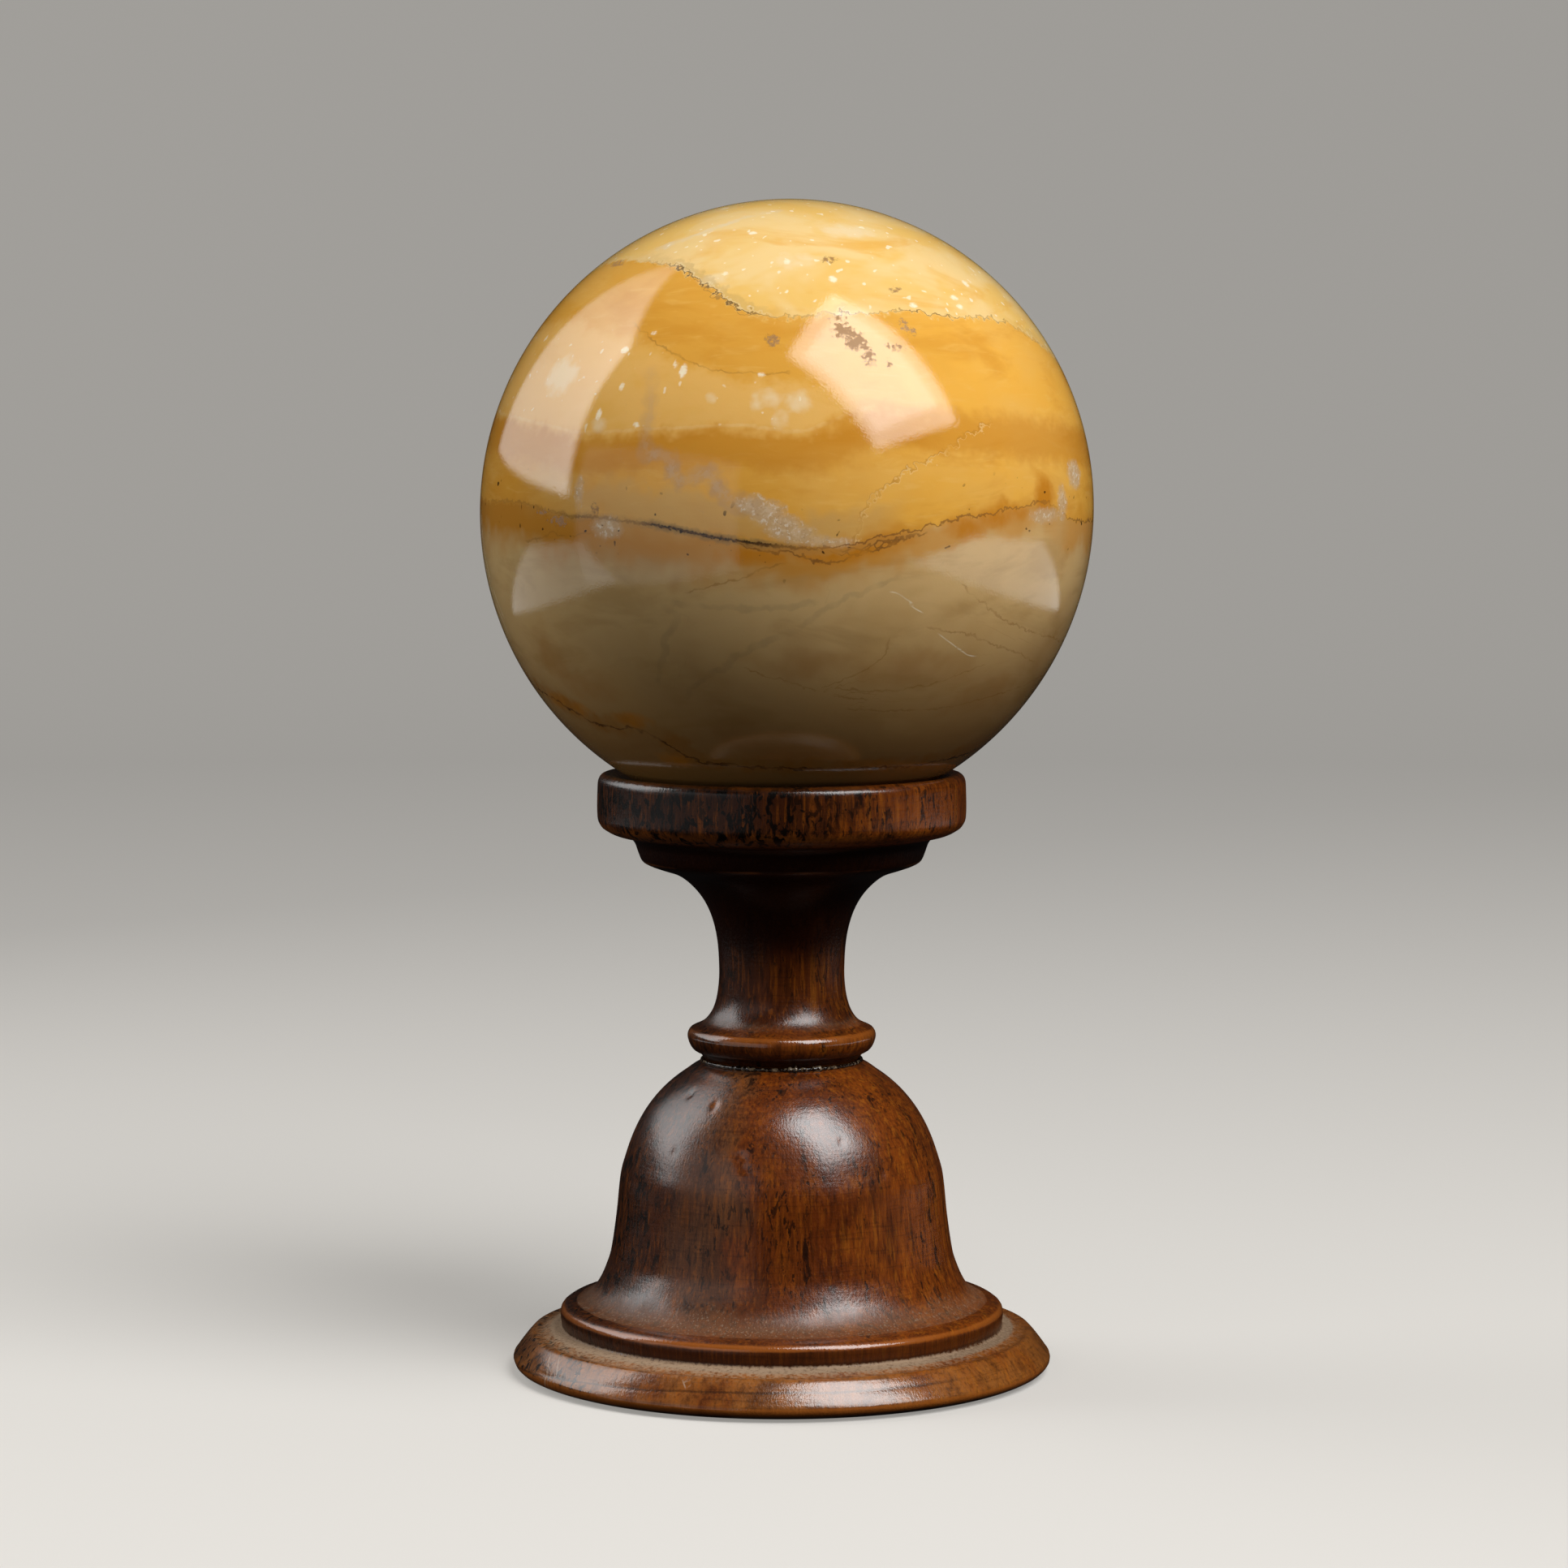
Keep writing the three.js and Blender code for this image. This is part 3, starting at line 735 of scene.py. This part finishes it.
WOOD_LAYERS = {
    "flecked": ("upright", "patchy", None, 0, -0.35, 0.3, 1, "5c2b0a"),
    "orange_right": (None, "rightward", "drift", 8, 2, 24, 0.65, "86400a"),
    "orange_middle": ("on_bell", "line", "rightward", "drift", 5, -2, 7, 0.45, "7a3709"),
    "red_middle": ("on_bell", "line", "rightward", "drift", 5, 11, 5, 0.5, "521d04"),
    "dark_left": (None, "rightward", "drift", 6, -18, -33, 0.7, "2a160b"),
    "dusty_band": ("on_bell", "line", "rightward", "drift", 5, -16, 6, 0.6, "6c4628"),
    "pale_flange": ("on_flange", "on_flange", "cloud", 0.9, 0.1, 1.1, 0.85, "9a5f2a"),
    # painted shade on the middle of the stem, below the cup and ball; its mask also thins the wax
    "painted_shade_on_stem": (None, "stem_low", "cloud", 0.3, 0.1, 0.9, 0.45, "2c1005"),
    "cup_shade": ("on_cup", "rightward", "drift", 10, 24, -2, 0.7, "2c170c"),
    # orange only on the ring's upper part, its lower part left darker: the wood's colour, with painted light
    # above and painted shade below
    "ring_top_orange_painted_light": (None, "on_ring", "cloud", 0.5, 0.1, 1.0, 0.3, "8a4812"),
    "dark_growth": (None, "growth", None, 0, 0.1, -0.7, 0.4, "3c1705"),
    "light_growth": (None, "growth", None, 0, 0.15, 0.9, 0.35, "98500f"),
    "yellow_strips": ("orange_right", "strip", None, 0, 0.15, 0.6, 0.5, "b06818"),
    "clouds": (None, "cloud", None, 0, 0.0, 0.7, 0.45, "3c1705"),
    "fibres": (None, "fibre", None, 0, 0.0, 0.7, 0.4, "2c1104"),
    "light_fibres": (None, "fibre", None, 0, -0.15, -0.7, 0.3, "a4580f"),
    "dashes": ("upright", "dash", None, 0, 0.2, 0.6, 0.45, "1c0c05"),
    "turning_lines": (None, "turning", None, 0, 0.1, 0.8, 0.3, "2c1104"),
    "flecks": ("flecked", "fleck", None, 0, 0.36, 0.55, 0.8, "120804"),
    "blotches": ("flecked", "blotch", None, 0, 0.38, 0.62, 0.8, "130804"),
    "left_blots": ("dark_left", "blot", None, 0, 0.15, 0.45, 1.4, "110703"),
    # the cup's rounded lower edge is lighter orange: worn wood, and painted light on an edge that faces down
    "cup_foot_worn_and_painted_light": (None, "cup_foot", "cloud", 0.6, 0.2, 1.1, 0.5, "8a4e1c"),
    "cup_blots": ("cup_shade", "blot", None, 0, 0.0, 0.35, 1.5, "0d0603"),
    # painted shade: the stem darkens steeply upwards, under the cup and ball
    "painted_shade_under_cup": (None, "stem_top", "cloud", 0.25, 0.0, 0.8, 0.92, "1c0702"),
    "shaded": (None, "under", None, 0, 0, 1, 0.6, "1c0b05"),
    # painted shade in the coves
    "painted_cove_shade": (None, "cove_shade", "speckle", 0.1, 0.1, 1, 0.8, "1a0b05"),
    "lip_shade": (None, "lip_face", "speckle", 0.12, 0.1, 0.9, 0.6, "2e180c"),
    "rubbed": (None, "worn", "cloud", 0.3, 0.25, 0.9, 0.7, "a65c20"),
    "scored_line": ("scored_shown", "line", "scored", "speckle", 0.08, 0, 0.17, 0.55, "22130a"),
    "scratched": ("scratch_shown", "line", "scratch", None, 0, 0, 0.12, 0.6, "b79d86"),
    "film": (None, "film", "patchy", 0.3, 0.2, 1.1, 0.45, "7a5236"),
    "dusted": ("dust", "dust", "speckle", 0.3, 0.1, 0.9, 0.6, "85725c"),
    "settled_dust": ("settled", "settled", "speckle", 0.9, 0.0, 1.2, 0.85, "a3896f"),
    "dust_specks": ("film", "pore", None, 0, 0.25, 0.7, 0.8, "a8927c"),
}


def stained_waxed_beech(name, move):
    """Beech, turned, stained brown and waxed: upright grain with short dark ray flecks, stain rubbed through
    to orange on the edges, dull dust in the coves, and a soft wax shine that shows the pores. Painted shade
    darkens the coves, the undersides and the stem under the cup, and painted light lightens the cup's lower
    edge."""
    material, tree = new_material(name)
    wood, fields = pattern(tree, "68310e", WOOD_TEXTURES, WOOD_LAYERS, move)
    dust = add(tree, "Math", {0: fields["dusted"], 1: fields["film"]}, operation="ADD")
    shoulder = add(tree, "Attribute", out="Fac", attribute_name="shoulder")
    ring = add(tree, "Attribute", out="Fac", attribute_name="on_ring")
    # the stain beneath is dull; the wax over it is thin on the upright sides, thick and buffed on the
    # shoulders and on rubbed edges, and dead where dust lies
    stain_gloss = add(tree, "Math", {0: dust, 1: 0.3, 2: 0.35}, operation="MULTIPLY_ADD")
    polished = add(tree, "Math", {0: fields["rubbed"], 1: 1.4, 2: ring}, operation="MULTIPLY_ADD")
    flange = {0: fields["pale_flange"], 1: 0.7, 2: polished}
    polished = add(tree, "Math", flange, operation="MULTIPLY_ADD", use_clamp=True)
    wax = add(tree, "Math", {0: shoulder, 1: polished}, operation="MAXIMUM")
    wax = add(tree, "Math", {0: wax, 1: 0.87, 2: 0.13}, operation="MULTIPLY_ADD")
    all_dust = add(tree, "Math", {0: dust, 1: fields["settled_dust"]}, operation="ADD")
    # the wax is thinner where the stem carries painted shade
    wax = add(tree, "Math", {0: fields["painted_shade_on_stem"], 1: -0.6, 2: wax}, operation="MULTIPLY_ADD")
    wax = add(tree, "Math", {0: all_dust, 1: -1.5, 2: wax}, operation="MULTIPLY_ADD", use_clamp=True)
    buffing = {"Value": fields["cloud"], "From Min": -0.5, "From Max": 0.6, "To Min": 0.19, "To Max": 0.26}
    wax_gloss = add(tree, "MapRange", buffing)
    wax_gloss = add(tree, "Math", {0: dust, 1: 0.35, 2: wax_gloss}, operation="MULTIPLY_ADD")
    wax_gloss = add(tree, "Mix", {0: polished, 2: wax_gloss, 3: 0.08})
    surface = fields["pore"]
    for field, weight in (("fibre", 0.5), ("speckle", 0.2), ("turning", 0.4), ("flecks", -1.0)):
        surface = add(tree, "Math", {0: fields[field], 1: weight, 2: surface}, operation="MULTIPLY_ADD")
    bump = add(tree, "Bump", {"Strength": 0.25, "Distance": 0.1 * MM, "Height": surface})
    wax_bump = add(tree, "Bump", {"Strength": 0.1, "Distance": 0.1 * MM, "Height": surface})
    shader = add(tree, "BsdfPrincipled", {
        "Base Color": wood, "Roughness": stain_gloss, "IOR": 1.5, "Specular IOR Level": 0.12,
        "Normal": bump, "Coat Weight": wax, "Coat Roughness": wax_gloss, "Coat IOR": 1.6,
        "Coat Normal": wax_bump})
    add(tree, "OutputMaterial", {"Surface": shader})
    return material


# ---- old glue in the joint ----

GLUE_RADIUS = 17.0
GLUE_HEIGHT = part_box("bell_foot")[1].z / MM + 0.25


def glue_line():
    """Glue squeezed out under the ring: a thin uneven bead all round, thicker at the front."""
    azimuth = np.arange(0, 360, 1.0)
    turn = (azimuth + 180) % 360 - 180
    lumps = 0.5 + 0.5 * waves(azimuth, 21, 2.5, 20, 8)
    right = smoothstep(-8, 4, turn) * smoothstep(34, 26, turn)
    left = smoothstep(-40, -34, turn) * smoothstep(-18, -24, turn)
    bead = 0.34 + 0.42 * np.clip(lumps, 0, 1.6) * (0.2 + (right + 0.7 * left))
    round_bead = np.radians(np.arange(0, 360, 30))
    radius = GLUE_RADIUS + bead[:, None] * np.cos(round_bead)
    height = GLUE_HEIGHT + bead[:, None] * np.sin(round_bead)
    a = np.radians(azimuth)[:, None]
    points = np.stack([radius * np.sin(a), -radius * np.cos(a), height], -1).reshape(-1, 3)
    ring = np.arange(len(points)).reshape(len(azimuth), len(round_bead))
    ahead = np.roll(ring, -1, 0)
    quads = np.stack([ring, ahead, np.roll(ahead, -1, 1), np.roll(ring, -1, 1)], -1).reshape(-1, 4)
    return mesh_piece("glue_line", points, quads.tolist())


def old_hide_glue():
    """Hide glue that has squeezed out, set hard and gone dark: glossy amber lumps, with pale patches painted
    on as glints.
    """
    material, tree = new_material("old_hide_glue")
    place = add(tree, "TexCoord", out="Object")
    place = add(tree, "VectorMath", {0: place, "Scale": 1 / MM}, operation="SCALE")
    lumps = add(tree, "TexNoise", {"Vector": place, "Scale": 1 / 0.8, "Detail": 3.0})
    # the pale patches are painted glints
    painted_glints = add(tree, "MapRange", {"Value": lumps, "From Min": 0.52, "From Max": 0.66})
    amber = add(tree, "Mix", {0: painted_glints, 6: linear("1d0f08"), 7: linear("8f7b62")}, out=2, data_type="RGBA")
    bump = add(tree, "Bump", {"Strength": 0.4, "Distance": 0.2 * MM, "Height": lumps})
    glossy = {"Base Color": amber, "Roughness": 0.08, "IOR": 1.52, "Normal": bump}
    add(tree, "OutputMaterial", {"Surface": add(tree, "BsdfPrincipled", glossy)})
    return material


def dress(piece, material, node):
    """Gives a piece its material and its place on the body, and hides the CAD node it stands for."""
    piece.data.materials.append(material)
    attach(piece, "root")
    if node:
        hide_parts(node)


dress(marble_ball(), polished_yellow_marble(), "marble_ball")
dress(turned_piece("turned_cup_and_stem", "cup_and_stem", stem_relief, 3),
      stained_waxed_beech("stained_waxed_beech_upper", (37, 11, 0)), "cup_and_stem")
dress(turned_piece("turned_bell_foot", "bell_foot", foot_relief, 8),
      stained_waxed_beech("stained_waxed_beech_foot", (-54, 23, 0)), "bell_foot")
dress(glue_line(), old_hide_glue(), None)


# ---- stage, lights and camera ----

SWEEP_RADIUS = 2600
SWEEP_BEND = 900
SWEEP_HEIGHT = 3400
PAPER = "b4b1ac"


def pale_sweep():
    """A pale floor that bends up into a round wall, so that every side has the same plain ground behind it.
    It is there for the eye alone: it throws no light back on the object."""
    bend = np.radians(np.linspace(0, 90, 13))
    radius = np.concatenate([[900], SWEEP_RADIUS - SWEEP_BEND * (1 - np.sin(bend)), [SWEEP_RADIUS]])
    height = np.concatenate([[0], SWEEP_BEND * (1 - np.cos(bend)), [SWEEP_HEIGHT]]) - 0.05
    turn = np.radians(np.arange(0, 360, 5))[:, None]
    points = np.stack([radius * np.sin(turn), -radius * np.cos(turn), height + 0 * turn], -1).reshape(-1, 3)
    rows = np.arange(len(points)).reshape(len(turn), len(radius))
    ahead = np.roll(rows, -1, 0)
    quads = np.stack([rows[:, :-1], rows[:, 1:], ahead[:, 1:], ahead[:, :-1]], -1).reshape(-1, 4).tolist()
    sweep = mesh_piece("pale_sweep", points, quads + [tuple(rows[:, 0])])
    material, tree = new_material("matt_pale_paper")
    paper = {"Base Color": linear(PAPER), "Roughness": 0.95, "Emission Color": linear(PAPER),
             "Emission Strength": 0.6}
    add(tree, "OutputMaterial", {"Surface": add(tree, "BsdfPrincipled", paper)})
    sweep.data.materials.append(material)
    sweep.visible_diffuse = sweep.visible_glossy = sweep.visible_transmission = sweep.visible_shadow = False


def softbox(name, centre, facing, width, height, brightness, dim_side=1.0, border=1.0):
    """A flat lamp: its centre, where its face points as azimuth and elevation, its size, how bright its face
    is, and how much of that is left at its dim side and round its border."""
    lamp = bpy.data.lights.new(name, "AREA")
    lamp.shape = "RECTANGLE"
    lamp.size, lamp.size_y = width * MM, height * MM
    lamp.energy = brightness * math.pi * lamp.size * lamp.size_y
    lamp.use_nodes = True
    tree = lamp.node_tree
    tree.nodes.clear()
    face = add(tree, "NewGeometry", out="Parametric")
    across = add(tree, "SeparateXYZ", {0: face})
    fade = add(tree, "MapRange", {"Value": across, "To Min": dim_side, "To Max": 1.0})
    off_centre = add(tree, "VectorMath", {0: face, 1: (0.5, 0.5, 0)}, operation="SUBTRACT")
    off_centre = add(tree, "VectorMath", {0: off_centre}, operation="ABSOLUTE")
    sideways = add(tree, "SeparateXYZ", {0: off_centre})
    upwards = add(tree, "SeparateXYZ", {0: off_centre}, out=1)
    off_centre = add(tree, "Math", {0: sideways, 1: upwards}, operation="MAXIMUM")
    rim = {"Value": off_centre, "From Min": 0.37, "From Max": 0.39, "To Min": 1.0, "To Max": border}
    edge = add(tree, "MapRange", rim)
    strength = add(tree, "Math", {0: fade, 1: edge}, operation="MULTIPLY")
    add(tree, "OutputLight", {0: add(tree, "Emission", {"Strength": strength})})
    azimuth, elevation = (math.radians(angle) for angle in facing)
    aim = Vector((math.sin(azimuth) * math.cos(elevation), -math.cos(azimuth) * math.cos(elevation),
                  math.sin(elevation)))
    box = bpy.data.objects.new(name, lamp)
    box.location = Vector(centre) * MM
    box.rotation_euler = aim.to_track_quat("-Z", "Y").to_euler()
    box.visible_camera = False
    bpy.context.scene.collection.objects.link(box)


def studio():
    """A key lamp front right above, a side lamp at the left, a dim reflector front left, and a pale table
    top that comes out to each side of a dark cloth."""
    pale_sweep()
    softbox("key_softbox", (637, -739, 1324), (-110, -45.5), 1005, 1408, 8.6, border=0.6)
    softbox("side_softbox", (-978, 347, 966), (43, 6.5), 1065, 1372, 4.5, 0.2)
    softbox("front_reflector", (-468, -407, 175), (131, 0), 770, 470, 0.5)
    softbox("left_table_top", (-900, 130, 5), (0, 90), 880, 700, 0.8)
    softbox("right_table_top", (900, 0, 5), (0, 90), 880, 900, 1.2)
    world = bpy.data.worlds.new("dim_room")
    world.use_nodes = True
    background = world.node_tree.nodes["Background"]
    background.inputs["Color"].default_value = linear("ffffff")
    background.inputs["Strength"].default_value = 0.008
    bpy.context.scene.world = world
    bpy.context.scene.view_settings.view_transform = "Standard"


def camera():
    """Stands about a metre in front, a little above the ball's middle, and looks slightly down."""
    lens = bpy.data.cameras.new("camera")
    lens.sensor_width = 36
    lens.lens = 106.7
    eye = bpy.data.objects.new("camera", lens)
    eye.location = Vector((0.5, -985.7, 207)) * MM
    eye.rotation_euler = (math.radians(90 - 4.73), 0, 0)
    bpy.context.scene.collection.objects.link(eye)
    bpy.context.scene.camera = eye


studio()
camera()
